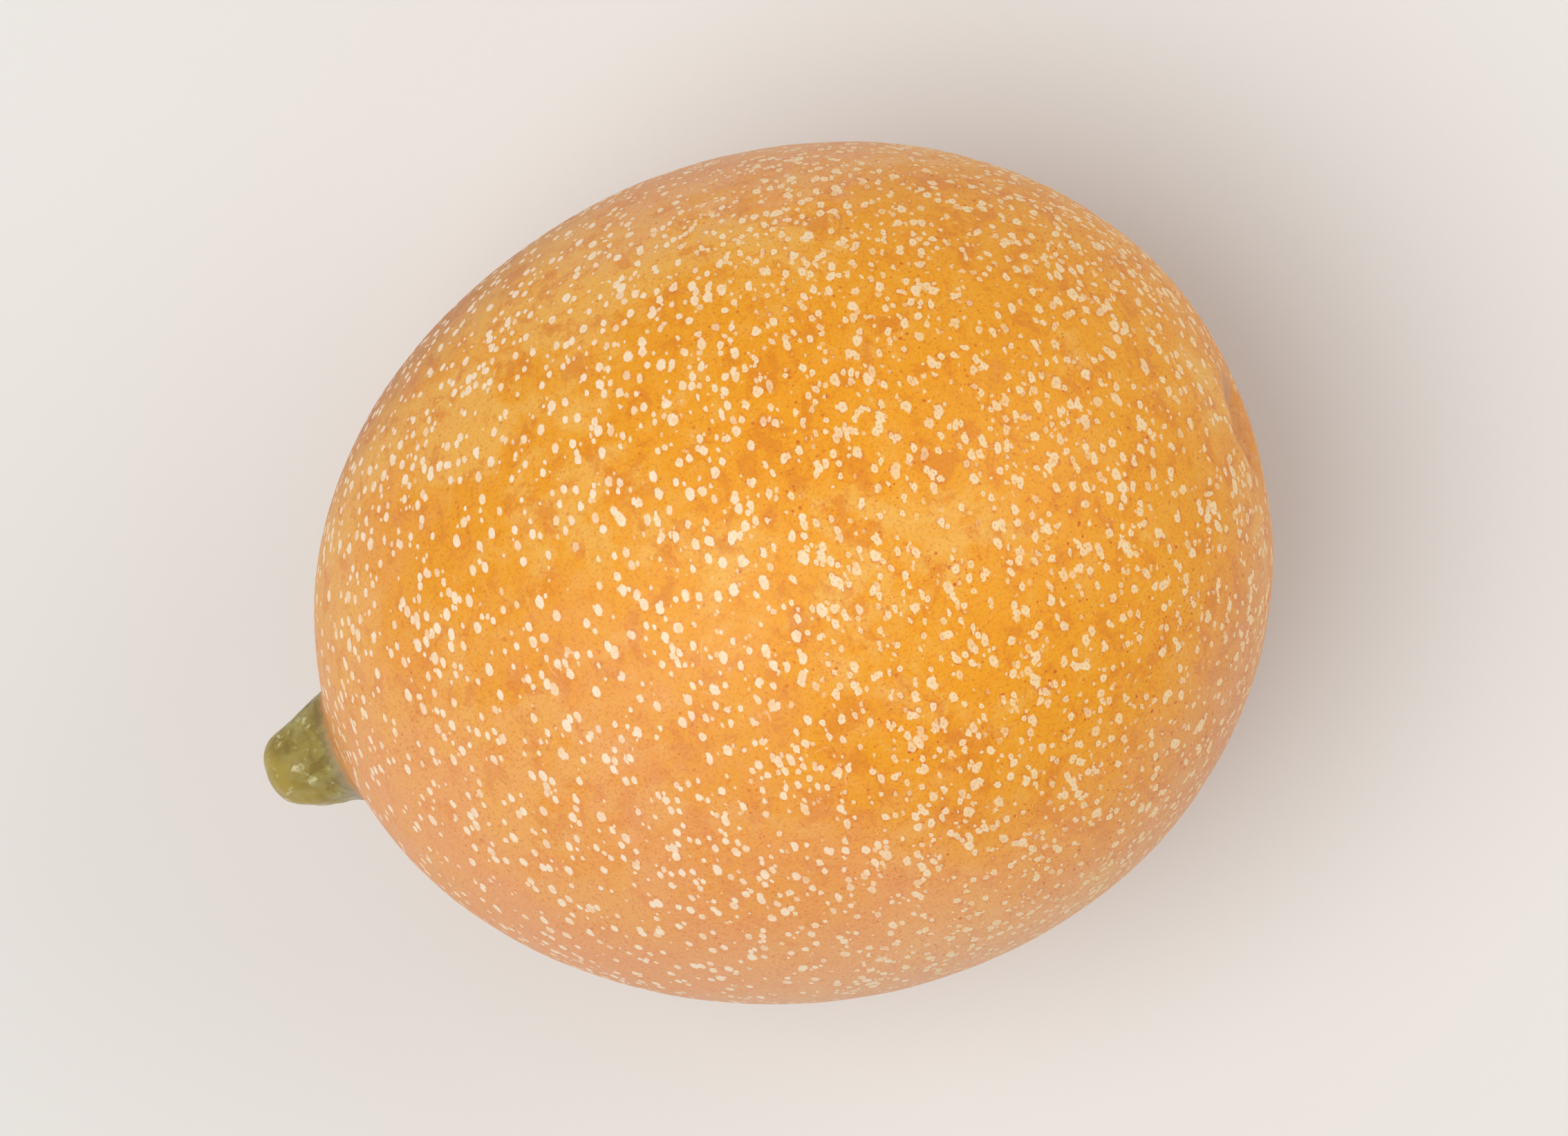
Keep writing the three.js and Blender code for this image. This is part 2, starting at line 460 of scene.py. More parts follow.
def stem_mesh(settings, rind):
    """The stub of stem about its own axis. At a share h of its length its radius tapers evenly from
    the foot to the tip, times root(1 - h^8), which rounds its end. A flare dying away over 0.7 mm
    stands at the skin, soft ridges run along it and the whole is a little lumpy. It starts just
    inside the skin, whose height there is an ellipsoid's with the collar."""
    half_length = rind.length / 2
    half_width = rind.width / 2
    foot_x = -half_length * (1 + EGG) * np.sqrt(1 - (STEM_OFFSET / half_width) ** 2) - COLLAR_HEIGHT
    foot = np.array([foot_x, STEM_OFFSET, 0.0])
    axis = np.array([-cos(STEM_LEAN), -sin(STEM_LEAN), 0.0])
    upward = np.array([0.0, 0.0, 1.0])
    sideways = np.cross(axis, upward)

    turn = np.arange(STEM_COLUMNS) * 2 * np.pi / STEM_COLUMNS
    outward = np.cos(turn)[:, None] * upward + np.sin(turn)[:, None] * sideways
    rim = foot + settings.foot_radius * outward
    narrowing = (rim[:, 1] ** 2 + rim[:, 2] ** 2) / half_width ** 2
    from_foot = np.hypot(rim[:, 1] - STEM_OFFSET, rim[:, 2])
    skin_x = -half_length * (1 + EGG) * np.sqrt(1 - narrowing)
    skin_x = skin_x - COLLAR_HEIGHT * bell(from_foot / COLLAR_WIDTH)
    skin_height = (skin_x - rim[:, 0]) / axis[0]

    from_tip = np.linspace(0, 1, STEM_RINGS + 1)[1:, None] ** 1.6
    start = skin_height - STEM_BURIED
    along = settings.length - from_tip * (settings.length - start)
    rise = along - skin_height
    share = np.clip(along / settings.length, 0, 1)
    taper = settings.foot_radius + (settings.tip_radius - settings.foot_radius) * share
    body = taper * np.sqrt(1 - share ** 8)
    uneven = 1 + 0.35 * np.cos(3 * turn + 0.8) + 0.2 * np.cos(7 * turn)
    flare = STEM_FLARE * np.exp(-np.maximum(rise, 0) / FLARE_HEIGHT) * uneven
    twist = turn + 0.25 * share
    ridges = 0.024 * np.cos(5 * twist + 0.5) + 0.014 * np.cos(9 * twist + 1.9)
    radius = body * (1 + ridges * (1 - share ** 6)) + flare
    points = foot + along[..., None] * axis + radius[..., None] * outward
    lump = STEM_SLOW_LUMP * waves(points, 11, 14, 120, 300)
    lump = lump + STEM_QUICK_LUMP * waves(points, 12, 20, 500, 1100)
    lump = lump * np.clip(rise / MM, 0.2, 1) * np.clip(radius / MM, 0, 1)
    points = points + outward * lump[..., None]
    middle = fruit_middle(rind.length, rind.width)
    tip = foot + axis * settings.length
    root = foot + axis * start.mean()
    return closed_mesh("stem_stub", tip + middle, points + middle, root + middle, rise / MM)


# ---------------------------------------------------------------- materials

class Nodes:
    """Adds shader nodes to one tree. A value given for an input is set on it, a socket is linked."""

    def __init__(self, tree):
        self.tree = tree

    def put(self, socket, value):
        if isinstance(value, bpy.types.NodeSocket):
            self.tree.links.new(value, socket)
        elif socket.type == "RGBA":
            socket.default_value = (*value[:3], 1.0)
        else:
            socket.default_value = value

    def add(self, kind, inputs=None, **settings):
        node = self.tree.nodes.new("ShaderNode" + kind)
        for name, value in settings.items():
            setattr(node, name, value)
        for name, value in (inputs or {}).items():
            self.put(node.inputs[name], value)
        return node

    def math(self, operation, first, second=0.0, third=0.0):
        inputs = {0: first, 1: second, 2: third}
        return self.add("Math", inputs, operation=operation).outputs[0]

    def vector(self, operation, first, second=(0.0, 0.0, 0.0)):
        node = self.add("VectorMath", {0: first, 1: second}, operation=operation)
        return node.outputs["Value" if operation in ("DOT_PRODUCT", "DISTANCE") else "Vector"]

    def scaled(self, vector, factor):
        return self.add("VectorMath", {0: vector, "Scale": factor}, operation="SCALE").outputs[0]

    def fade(self, value, start, end, low=0.0, high=1.0):
        """Goes smoothly from low to high while the value goes from start to end."""
        inputs = {"Value": value, "From Min": start, "From Max": end, "To Min": low, "To Max": high}
        return self.add("MapRange", inputs, interpolation_type="SMOOTHSTEP").outputs[0]

    def mix(self, share, first, second):
        node = self.add("Mix", {0: share, 6: first, 7: second}, data_type="RGBA")
        return node.outputs[2]

    def noise(self, vector, scale, detail=2.0, roughness=0.5, distortion=0.0, output="Fac"):
        inputs = {"Vector": vector, "Scale": scale, "Detail": detail, "Roughness": roughness,
                  "Distortion": distortion}
        return self.add("TexNoise", inputs).outputs[output]

    def place(self):
        """Where a point of the piece is, in millimetres."""
        return self.scaled(self.add("TexCoord").outputs["Object"], 1 / MM)


def new_material(name):
    material = bpy.data.materials.new(name)
    material.use_nodes = True
    material.node_tree.nodes.clear()
    return material, Nodes(material.node_tree)


def spot_group():
    """One layer of pale spots. Space is divided into irregular cells, narrower along X so that the
    spots are longer round the fruit. A cell's middle that lies near the skin makes one spot, with a
    radius picked by the cell's random number, which shrinks to nothing as the middle lies deeper.
    Only the distance along the skin from the middle is measured against that radius."""
    tree = bpy.data.node_groups.new("Pale spots", "ShaderNodeTree")
    for name in ("Place", "Normal", "Shift"):
        tree.interface.new_socket(name, in_out="INPUT", socket_type="NodeSocketVector")
    for name in ("Cell", "Least", "Greatest", "Kept", "Ragged"):
        tree.interface.new_socket(name, in_out="INPUT", socket_type="NodeSocketFloat")
    for name in ("Spot", "Pore", "Edge", "Chance"):
        tree.interface.new_socket(name, in_out="OUTPUT", socket_type="NodeSocketFloat")
    nodes = Nodes(tree)
    given = tree.nodes.new("NodeGroupInput").outputs
    result = tree.nodes.new("NodeGroupOutput").inputs

    wander = nodes.noise(given["Place"], 0.55, 1.0, output="Color")
    wander = nodes.scaled(nodes.vector("SUBTRACT", wander, (0.5, 0.5, 0.5)), given["Ragged"])
    bent = nodes.vector("ADD", nodes.vector("MULTIPLY", given["Place"], SPOT_SQUEEZE), wander)
    spread = nodes.math("DIVIDE", 1.0, given["Cell"])
    point = nodes.vector("ADD", nodes.scaled(bent, spread), given["Shift"])
    cells = nodes.add("TexVoronoi", {"Vector": point, "Scale": 1.0, "Randomness": 0.9},
                      voronoi_dimensions="3D", feature="F1").outputs
    picks = nodes.add("SeparateColor", {"Color": cells["Color"]}).outputs

    offset = nodes.vector("SUBTRACT", cells["Position"], point)
    upright = nodes.vector("NORMALIZE", nodes.vector("DIVIDE", given["Normal"], SPOT_SQUEEZE))
    depth = nodes.math("ABSOLUTE", nodes.vector("DOT_PRODUCT", offset, upright))
    straight = nodes.vector("DOT_PRODUCT", offset, offset)
    beside = nodes.math("SUBTRACT", straight, nodes.math("MULTIPLY", depth, depth))
    away = nodes.math("SQRT", nodes.math("MAXIMUM", beside, 0.0))
    away = nodes.math("MULTIPLY", away, given["Cell"])

    patch = nodes.noise(nodes.scaled(cells["Position"], given["Cell"]), 0.13, 1.0)
    patch = nodes.fade(patch, 0.33, 0.52, 0.30, 1.0)
    kept = nodes.math("LESS_THAN", picks[1], nodes.math("MULTIPLY", given["Kept"], patch))
    near = nodes.math("MULTIPLY", nodes.fade(depth, 0.20, 0.34, 1.0, 0.0), kept)
    pick = nodes.math("POWER", picks[0], 1.3)
    extra = nodes.math("SUBTRACT", given["Greatest"], given["Least"])
    radius = nodes.math("MULTIPLY_ADD", pick, extra, given["Least"])
    reach = nodes.math("MULTIPLY", radius, near)

    rough = nodes.math("SUBTRACT", nodes.noise(given["Place"], 2.1, 2.5, 0.65), 0.5)
    rough = nodes.math("MULTIPLY", rough, nodes.math("MULTIPLY_ADD", given["Ragged"], 0.45, 0.20))
    edge = nodes.math("SUBTRACT", nodes.math("ADD", away, rough), reach)
    there = nodes.fade(reach, 0.04, 0.14)
    nodes.put(result["Spot"], nodes.math("MULTIPLY", nodes.fade(edge, -0.06, 0.07, 1.0, 0.0), there))
    nodes.put(result["Pore"], nodes.math("MULTIPLY", nodes.fade(away, 0.03, 0.12, 1.0, 0.0), there))
    far = nodes.math("MULTIPLY", nodes.math("SUBTRACT", 1.0, there), FAR_FROM_SPOTS)
    nodes.put(result["Edge"], nodes.math("ADD", edge, far))
    nodes.put(result["Chance"], picks[2])
    return tree


class SkinFields:
    """What the parts of the skin's pattern share. A point's place in millimetres is given from the
    piece's origin (place) and from the fruit's middle (centred), and as shares of the half sizes
    (along, aside and height). Blossom goes from 0 on the stem half to 1 on the blossom half, and
    from_hollow is the distance from the bottom of the dimple. The rest are noises."""

    def __init__(self, nodes, settings):
        middle = fruit_middle(settings.length, settings.width) / MM
        half_width = settings.width / 2 / MM
        self.half_length = settings.length / 2 / MM
        self.place = nodes.place()
        self.centred = nodes.vector("SUBTRACT", self.place, tuple(middle))
        position = nodes.add("SeparateXYZ", {"Vector": self.centred}).outputs
        self.along = nodes.math("DIVIDE", position[0], self.half_length)
        self.aside = nodes.math("DIVIDE", position[1], half_width)
        self.height = nodes.math("DIVIDE", position[2], half_width)
        self.blossom = nodes.fade(self.along, -0.35, 0.55)
        self.hollow_x = self.half_length * (1 - EGG) - (SAUCER_DEPTH + HOLLOW_DEPTH) / MM
        hollow = (self.hollow_x, DIMPLE_ASIDE / MM, DIMPLE_UP / MM)
        self.from_hollow = nodes.vector("DISTANCE", self.centred, hollow)

        self.mottle = nodes.noise(self.centred, 0.42, 4.0, 0.65)
        self.fine = nodes.noise(self.centred, 1.3, 4.0, 0.7)
        self.grain = nodes.noise(self.place, 4.2, 3.0, 0.75)
        drawn_out = nodes.vector("MULTIPLY", self.centred, (0.75, 1.0, 1.0))
        self.patches = nodes.noise(drawn_out, 0.085, 8.0, 0.68, 0.35)


def spot_pattern(nodes, skin):
    """All layers of pale spots: how strongly a point lies in a spot and in a spot's pore, both fading
    out inside the dimple, and its distance in millimetres from the nearest spot's edge."""
    normal = nodes.add("TexCoord").outputs["Normal"]
    ragged = nodes.fade(skin.along, -0.4, 0.5, 0.25, 1.0)
    group = spot_group()
    spots = 0.0
    pores = 0.0
    edge = FAR_FROM_SPOTS
    for number, values in enumerate(SPOT_LAYERS):
        shift, cell, least, greatest, by_stem, by_blossom, faintest = values
        node = nodes.add("Group", node_tree=group)
        kept = nodes.fade(skin.along, -0.4, 0.35, by_stem, by_blossom)
        for name, value in (
            ("Place", skin.place), ("Normal", normal), ("Shift", shift), ("Cell", cell),
            ("Least", least), ("Greatest", greatest), ("Kept", kept), ("Ragged", ragged),
        ):
            nodes.put(node.inputs[name], value)
        layer = node.outputs
        strength = nodes.fade(layer["Chance"], 0.0, 0.5, faintest, 1.0)
        spots = nodes.math("MAXIMUM", spots, nodes.math("MULTIPLY", layer["Spot"], strength))
        edge = nodes.math("MINIMUM", edge, layer["Edge"])
        if number < PORED_LAYERS:
            pores = nodes.math("MAXIMUM", pores, layer["Pore"])
    uneven = nodes.math("MULTIPLY_ADD", skin.mottle, 2.0, skin.from_hollow)
    outside = nodes.fade(uneven, 4.6, 6.6, 0.12, 1.0)
    return nodes.math("MULTIPLY", spots, outside), nodes.math("MULTIPLY", pores, outside), edge


def bloom_pattern(nodes, skin):
    """How thick the waxy bloom lies: in patches with uneven borders, thicker by the stem and low on
    the flanks, and changed over the patches of BLOOM_PATCHES."""
    lean = nodes.math("MULTIPLY_ADD", skin.along, -0.12, skin.patches)
    lean = nodes.math("MULTIPLY_ADD", skin.height, -0.09, lean)
    lean = nodes.math("MULTIPLY_ADD", nodes.math("SUBTRACT", skin.mottle, 0.5), 0.28, lean)
    for patch, reach, change in BLOOM_PATCHES:
        from_patch = nodes.vector("DISTANCE", skin.centred, patch)
        lean = nodes.math("ADD", lean, nodes.fade(from_patch, 0.2 * reach, reach, change, 0.0))
    thinned = nodes.fade(skin.fine, 0.25, 0.6, 0.65, 1.0)
    return nodes.math("MULTIPLY", nodes.fade(lean, 0.39, 0.51), thinned)


def tinted(nodes, skin, settings, veil):
    """The skin's colour before its marks: ripe orange under the bloom, with washes, a peach blush at
    the stem end and one flank that is partly painted pale reflection, painted reflections on the
    rims, and painted shade towards the bottom and on the edge by the stem."""
    colour = nodes.mix(veil, settings.deep, settings.veil)
    squeezed = nodes.vector("MULTIPLY", skin.centred, (1.25, 1.0, 1.0))
    washes = nodes.noise(squeezed, 0.30, 7.0, 0.72, 0.5)
    colour = nodes.mix(nodes.fade(washes, 0.50, 0.62, 0.0, 0.62), colour, WASH)
    colour = nodes.mix(nodes.fade(washes, 0.47, 0.37, 0.0, 0.35), colour, settings.veil)

    flank = nodes.math("MULTIPLY", skin.aside, -0.55)
    flank = nodes.math("MULTIPLY_ADD", skin.along, -0.45, flank)
    cloud = nodes.noise(skin.centred, 0.06, 4.0, 0.55)
    cloud = nodes.math("MULTIPLY_ADD", nodes.math("SUBTRACT", skin.mottle, 0.5), 0.5, cloud)
    # Partly painted reflection: the blush on the stem end and one flank is a real peach tint and also
    # stands for pale light reflected there.
    blush_and_reflection = nodes.fade(nodes.math("ADD", cloud, flank), 0.42, 1.30, 0.0, 0.9)
    colour = nodes.mix(blush_and_reflection, colour, settings.blush_and_reflection)

    # Painted reflection: a pale frosted tint on the -Y rim stands for pale surroundings reflected
    # there.
    reflection_side = nodes.math("MULTIPLY_ADD", cloud, 0.3, skin.aside)
    reflection_side = nodes.math("MULTIPLY_ADD", skin.mottle, 0.2, reflection_side)
    colour = nodes.mix(nodes.fade(reflection_side, -0.38, -0.95, 0.0, 0.56), colour, PAINTED_PALE_REFLECTION)
    # Painted reflection: a rosy tint on the +Y rim of the blossom half stands for light reflected
    # there.
    rosy_reflection = nodes.fade(reflection_side, 1.02, 1.22, 0.0, 0.45)
    rosy_reflection = nodes.math("MULTIPLY", rosy_reflection, nodes.fade(skin.along, -0.35, 0.1))
    colour = nodes.mix(rosy_reflection, colour, PAINTED_ROSY_REFLECTION)
    # Painted reflection: a deeper rosy tint on the -Y rim by the blossom end stands for light
    # reflected there.
    corner = nodes.math("MULTIPLY_ADD", skin.aside, -0.6, nodes.math("MULTIPLY", skin.along, 0.8))
    corner = nodes.math("MULTIPLY_ADD", skin.mottle, 0.12, corner)
    colour = nodes.mix(nodes.fade(corner, 0.86, 1.10, 0.0, 0.55), colour, PAINTED_DEEP_REFLECTION)

    # Painted shade: the skin turns browner towards the bottom, where it is in shade.
    under_shade = nodes.math("MULTIPLY_ADD", skin.mottle, 0.5, skin.height)
    under_shade = nodes.math("MULTIPLY_ADD", skin.patches, 1.3, under_shade)
    colour = nodes.mix(nodes.fade(under_shade, 1.45, 0.35, 0.0, 0.55), colour, PAINTED_UNDER_SHADE)
    # Painted shade: a deep brown-orange edge on the +Y flank towards the stem, where shade falls.
    edge_shade = nodes.math("MULTIPLY_ADD", skin.aside, 0.8, nodes.math("MULTIPLY", skin.along, -0.55))
    edge_shade = nodes.math("MULTIPLY_ADD", skin.mottle, 0.16, edge_shade)
    colour = nodes.mix(nodes.fade(edge_shade, 0.88, 1.08, 0.0, 0.80), colour, PAINTED_EDGE_SHADE)
    bruise = nodes.noise(skin.centred, 0.16, 4.0, 0.65, 0.3)
    return nodes.mix(nodes.fade(bruise, 0.60, 0.74, 0.0, 0.35), colour, BRUISE)


def stippled(nodes, skin, settings, colour, edge):
    """Adds rusty stippling of many sizes, gathered in loose patches, a fine grain, and reddened
    stretches of the spots' borders."""
    crowd = nodes.fade(nodes.noise(skin.centred, 0.22, 3.0, 0.6), 0.38, 0.62, 0.22, 1.0)
    crowd = nodes.math("MULTIPLY", crowd, nodes.fade(skin.blossom, 0.0, 1.0, 0.45, 0.9))
    for scale, largest in STIPPLES:
        cells = nodes.add("TexVoronoi", {"Vector": skin.place, "Scale": scale, "Randomness": 1.0},
                          voronoi_dimensions="3D", feature="F1").outputs
        pick = nodes.add("SeparateColor", {"Color": cells["Color"]}).outputs[0]
        size = nodes.math("MULTIPLY", nodes.math("POWER", pick, 3.0), largest)
        inside = nodes.math("SUBTRACT", cells["Distance"], size)
        dots = nodes.math("MULTIPLY", nodes.fade(inside, -0.07, 0.03, 1.0, 0.0), crowd)
        colour = nodes.mix(dots, colour, settings.fleck)
    colour = nodes.mix(nodes.fade(skin.grain, 0.48, 0.74, 0.0, 0.50), colour, settings.fleck)
    colour = nodes.mix(nodes.fade(skin.grain, 0.44, 0.20, 0.0, 0.26), colour, settings.veil)
    reddened = nodes.fade(nodes.noise(skin.place, 1.3, 2.0), 0.50, 0.66)
    halo = nodes.math("MULTIPLY", nodes.fade(edge, 0.0, 0.26, 1.0, 0.0), reddened)
    halo = nodes.math("MULTIPLY", halo, nodes.fade(skin.blossom, 0.0, 1.0, 0.25, 0.6))
    return nodes.mix(halo, colour, settings.fleck)


def scratched(nodes, skin, settings, colour):
    """Adds hairlines: where a slow noise passes its middle value, kept in short stretches."""
    slow = nodes.noise(skin.centred, 0.13, 0.0, 0.5, 0.8)
    line = nodes.math("ABSOLUTE", nodes.math("SUBTRACT", slow, 0.5))
    stretch = nodes.fade(nodes.noise(skin.centred, 0.4, 1.0), 0.60, 0.66, 0.0, 0.3)
    hair = nodes.math("MULTIPLY", nodes.fade(line, 0.0005, 0.0020, 1.0, 0.0), stretch)
    return nodes.mix(hair, colour, settings.spot_stem)


def spotted(nodes, skin, settings, colour, spots, pores):
    """Adds the pale spots, dulled here and there, and the pores in their middles."""
    cream = nodes.mix(skin.blossom, settings.spot_stem, settings.spot_blossom)
    cream = nodes.mix(nodes.fade(skin.fine, 0.42, 0.72, 0.0, 0.45), cream, settings.veil)
    colour = nodes.mix(nodes.math("MULTIPLY", spots, 0.92), colour, cream)
    pore_share = nodes.math("MULTIPLY", pores, nodes.fade(skin.blossom, 0.0, 1.0, 0.04, 0.50))
    return nodes.mix(pore_share, colour, PORE)


def marked_at_ends(nodes, skin, colour):
    """Adds painted shade in the dimple's hollow and by its dry scar, the scar, and a darker band
    round the stem's foot.
    """
    # Painted shade: a dusky tint in the dimple's hollow, where it is in shade.
    dimple_shade_distance = nodes.math("MULTIPLY_ADD", nodes.noise(skin.centred, 0.5, 3.0), 2.0, skin.from_hollow)
    colour = nodes.mix(nodes.fade(dimple_shade_distance, 2.4, 6.4, 0.25, 0.0), colour, DIMPLE_SHADE)
    scar = (skin.hollow_x + 0.3, SCAR_ASIDE / MM, SCAR_UP / MM)
    # Painted shade: a mauve-grey tint on the crease above the scar, where the hollow's wall is in
    # shade.
    scar_shade_middle = (skin.hollow_x + 0.6, SCAR_ASIDE / MM + 1.4, SCAR_UP / MM + 0.3)
    from_scar_shade = nodes.vector("DISTANCE", skin.centred, scar_shade_middle)
    from_scar_shade = nodes.math("MULTIPLY_ADD", skin.mottle, 1.6, from_scar_shade)
    colour = nodes.mix(nodes.fade(from_scar_shade, 1.2, 4.4, 0.55, 0.0), colour, SCAR_SHADE)
    from_scar = nodes.vector("DISTANCE", skin.centred, scar)
    colour = nodes.mix(nodes.fade(from_scar, 0.40, 0.95, 0.9, 0.0), colour, SCAR)
    stem = (-skin.half_length * (1 + EGG) - COLLAR_HEIGHT / MM, STEM_OFFSET / MM, 0.0)
    from_stem = nodes.vector("DISTANCE", skin.centred, stem)
    return nodes.mix(nodes.fade(from_stem, 5.0, 7.6, 0.65, 0.0), colour, STEM_BAND)


def rind_material(settings):
    """Waxy orange skin: washes of deep orange under a paler bloom, a peach blush at the stem end and
    one flank that is partly painted reflection, painted reflections and painted shade on the rims,
    painted shade in the dimple, cream spots with pores, rusty stippling, faint bruises and
    hairlines, and a soft gloss that is duller on the spots and where the bloom is thick."""
    material, nodes = new_material("Waxy spotted rind")
    skin = SkinFields(nodes, settings)
    spots, pores, edge = spot_pattern(nodes, skin)
    veil = bloom_pattern(nodes, skin)
    colour = tinted(nodes, skin, settings, veil)
    colour = stippled(nodes, skin, settings, colour, edge)
    colour = scratched(nodes, skin, settings, colour)
    colour = spotted(nodes, skin, settings, colour, spots, pores)
    colour = marked_at_ends(nodes, skin, colour)

    gloss = nodes.fade(nodes.noise(skin.centred, 0.35, 4.0, 0.6), 0.3, 0.7, 0.40, 0.50)
    gloss = nodes.math("MULTIPLY_ADD", veil, 0.04, gloss)
    gloss = nodes.math("MULTIPLY_ADD", spots, 0.06, gloss)
    pits = nodes.noise(skin.place, 1.25, 3.0, 0.55)
    relief = nodes.math("MULTIPLY_ADD", pits, 0.55, nodes.math("MULTIPLY", skin.grain, 0.22))
    bump = nodes.add("Bump", {"Strength": 0.55, "Distance": 0.09 * MM, "Height": relief})
    surface = nodes.add("BsdfPrincipled", {
        "Base Color": colour, "Roughness": gloss, "Normal": bump.outputs[0], "IOR": 1.45,
        "Subsurface Weight": 0.12, "Subsurface Radius": (1.0, 0.45, 0.15),
        "Subsurface Scale": 1.2 * MM, "Specular IOR Level": 0.40,
        "Coat Weight": 0.08, "Coat Roughness": 0.3,
    })
    nodes.add("OutputMaterial", {"Surface": surface.outputs[0]})
    return material


def stem_material(settings):
    """Glossy olive stem: mottled green, yellower towards the tip, pale scuffs that are partly painted
    highlights, a dark foot and a thin waxy rim where it meets the skin, told by the height over the
    skin kept in "rise"."""
    material, nodes = new_material("Olive stem")
    place = nodes.place()
    rise = nodes.add("Attribute", attribute_name="rise").outputs["Fac"]
    patches = nodes.noise(place, 0.55, 4.0, 0.6, 0.5)
    colour = nodes.mix(nodes.fade(patches, 0.40, 0.60), settings.olive, DARK_OLIVE)
    aside = nodes.add("SeparateXYZ", {"Vector": place}).outputs[1]
    towards_tip = nodes.math("MULTIPLY_ADD", nodes.noise(place, 0.4, 2.0), 3.0, rise)
    towards_tip = nodes.math("MULTIPLY_ADD", aside, -0.45, towards_tip)
    colour = nodes.mix(nodes.fade(towards_tip, 5.2, 8.6, 0.0, 0.85), colour, settings.tip)
    drawn_out = nodes.vector("MULTIPLY", place, (0.5, 1.0, 1.0))
    wax = nodes.noise(drawn_out, 0.8, 4.0, 0.62)
    band = nodes.math("MULTIPLY", nodes.fade(rise, 0.6, 2.0), nodes.fade(rise, 5.6, 3.4))
    band = nodes.math("MULTIPLY", band, nodes.fade(wax, 0.44, 0.66, 0.0, 0.7))
    colour = nodes.mix(band, colour, STEM_WAX)
    # Partly painted highlights: pale scuffs that also stand for small bright highlights.
    scuffs_and_highlights = nodes.fade(nodes.noise(place, 1.05, 2.0, 0.6), 0.58, 0.74)
    scuffs_and_highlights = nodes.math("MULTIPLY", scuffs_and_highlights, nodes.fade(rise, 0.8, 2.2, 0.2, 0.9))
    colour = nodes.mix(scuffs_and_highlights, colour, settings.scuff_and_highlight)
    rim_height = nodes.math("MULTIPLY_ADD", nodes.noise(place, 1.2, 4.0, 0.6), 1.6, rise)
    waxy_side = nodes.math("MULTIPLY_ADD", aside, -0.07, 0.25)
    rim = nodes.math("MULTIPLY", nodes.fade(rim_height, 1.0, 2.3, 1.0, 0.0), waxy_side)
    colour = nodes.mix(rim, colour, STEM_RIM)
    colour = nodes.mix(nodes.fade(rim_height, 0.75, 1.5, 0.8, 0.0), colour, STEM_LINE)

    gloss = nodes.fade(patches, 0.3, 0.7, 0.30, 0.46)
    ground = nodes.noise(drawn_out, 2.0, 4.0, 0.6)
    height_map = nodes.math("MULTIPLY_ADD", scuffs_and_highlights, 0.3, ground)
    bump = nodes.add("Bump", {"Strength": 0.8, "Distance": 0.14 * MM, "Height": height_map})
    stem = nodes.add("BsdfPrincipled", {
        "Base Color": colour, "Roughness": gloss, "Normal": bump.outputs[0], "IOR": 1.45,
        "Subsurface Weight": 0.1, "Subsurface Radius": (0.6, 0.7, 0.2), "Subsurface Scale": 1.0 * MM,
        "Coat Weight": 0.2, "Coat Roughness": 0.2,
    })
    nodes.add("OutputMaterial", {"Surface": stem.outputs[0]})
    return material


def floor_material(settings):
    """Plain matt pale floor."""
    material, nodes = new_material("Pale floor")
    floor = nodes.add("BsdfPrincipled", {"Base Color": settings.floor_colour, "Roughness": 0.8})
    nodes.add("OutputMaterial", {"Surface": floor.outputs[0]})
    return material


# ---------------------------------------------------------------- pieces

def add_object(name, mesh, material):
    mesh.materials.append(material)
    piece = bpy.data.objects.new(name, mesh)
    bpy.context.scene.collection.objects.link(piece)
    return piece


def make_rind(scene):
    settings = scene.granadilla_rind
    rind = add_object("rind", rind_mesh(settings), rind_material(settings))
    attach(rind, "root")
    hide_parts("fruit")


def make_stem(scene):
    settings = scene.granadilla_stem
    mesh = stem_mesh(settings, scene.granadilla_rind)
    stem = add_object("stem_stub", mesh, stem_material(settings))
    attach(stem, "root")
    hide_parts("stem")


def floor_mesh(settings):
    """A round floor, flat out to its radius r, then rising as a bowl: half a metre times s^2 (3 - 2s),
    with s the share of the way from r to twice r."""
    distance = np.concatenate([[0.0, 0.1, 0.3], np.linspace(1, 2.2, 40)]) * settings.floor_radius
    turn = np.arange(FLOOR_COLUMNS) * 2 * np.pi / FLOOR_COLUMNS
    share = np.clip(distance / settings.floor_radius - 1, 0, 1)
    rise = FLOOR_RISE * share ** 2 * (3 - 2 * share)
    rings = np.stack([np.outer(distance, np.cos(turn)), np.outer(distance, np.sin(turn)),
                      np.outer(rise, np.ones(FLOOR_COLUMNS))], axis=-1)
    row, column = np.meshgrid(np.arange(len(distance) - 1), np.arange(FLOOR_COLUMNS), indexing="ij")
    beside = (column + 1) % FLOOR_COLUMNS
    start = row * FLOOR_COLUMNS
    after = start + FLOOR_COLUMNS
    faces = np.stack([start + column, after + column, after + beside, start + beside], axis=-1)
    faces = faces.reshape(-1, 4)
    mesh = bpy.data.meshes.new("floor")
    mesh.from_pydata(rings.reshape(-1, 3).tolist(), [], faces.tolist())
    mesh.polygons.foreach_set("use_smooth", np.ones(len(faces), bool))
    mesh.update()
    return mesh


def view_axes():
    """Right, up and backward of the camera: it looks down from the blossom end's side, and is rolled
    so that the fruit's long axis climbs to the right."""
    back = Vector((cos(VIEW_ELEVATION), 0, sin(VIEW_ELEVATION)))
    along = Vector((sin(VIEW_ELEVATION), 0, -cos(VIEW_ELEVATION)))
    across = back.cross(along)
    right = cos(VIEW_ROLL) * along - sin(VIEW_ROLL) * across
    up = sin(VIEW_ROLL) * along + cos(VIEW_ROLL) * across
    return right, up, back


